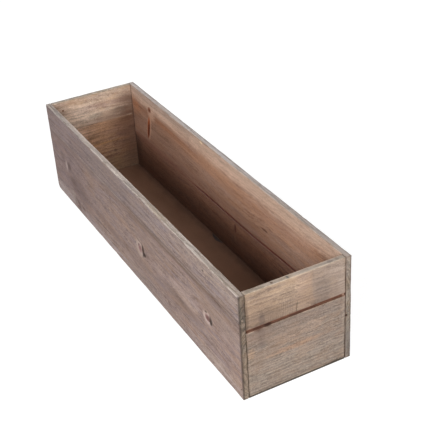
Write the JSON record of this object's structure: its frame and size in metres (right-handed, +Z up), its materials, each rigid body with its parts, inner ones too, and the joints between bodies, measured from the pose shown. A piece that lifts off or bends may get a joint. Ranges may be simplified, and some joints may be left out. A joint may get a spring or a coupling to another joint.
{
  "type": "planter box",
  "caption": "Long open-topped wooden planter box with tongue-and-groove board walls, pinned butt corners and a thin floor panel with a drain notch.",
  "frame": {"origin": "middle of the base, at the level of the surface the box stands on", "axes": "+X along the length to the front end, +Z up out of the open top, so +Y is to the right of someone facing the front end"},
  "size_m": [0.61, 0.15, 0.148],
  "materials": {
    "left_wood": "grey-washed, weathered, matt",
    "right_wood": "grey-washed, weathered, matt",
    "front_wood": "grey-washed, rough sawn, matt",
    "back_wood": "grey-washed, weathered, matt",
    "floor_wood": "smooth dark hardboard, matt",
    "pin_steel": "dull"
  },
  "bodies": {
    "root": {"floor_panel": "floor_wood", "front_lower_board": "front_wood", "front_upper_board": "front_wood", "back_lower_board": "back_wood", "back_upper_board": "back_wood", "left_lower_board": "left_wood", "left_upper_board": "left_wood", "right_lower_board": "right_wood", "right_upper_board": "right_wood", "front_left_corner_pins": "pin_steel", "front_right_corner_pins": "pin_steel", "back_left_corner_pins": "pin_steel", "back_right_corner_pins": "pin_steel", "front_floor_pins": "pin_steel", "back_floor_pins": "pin_steel"}
  },
  "joints": []
}
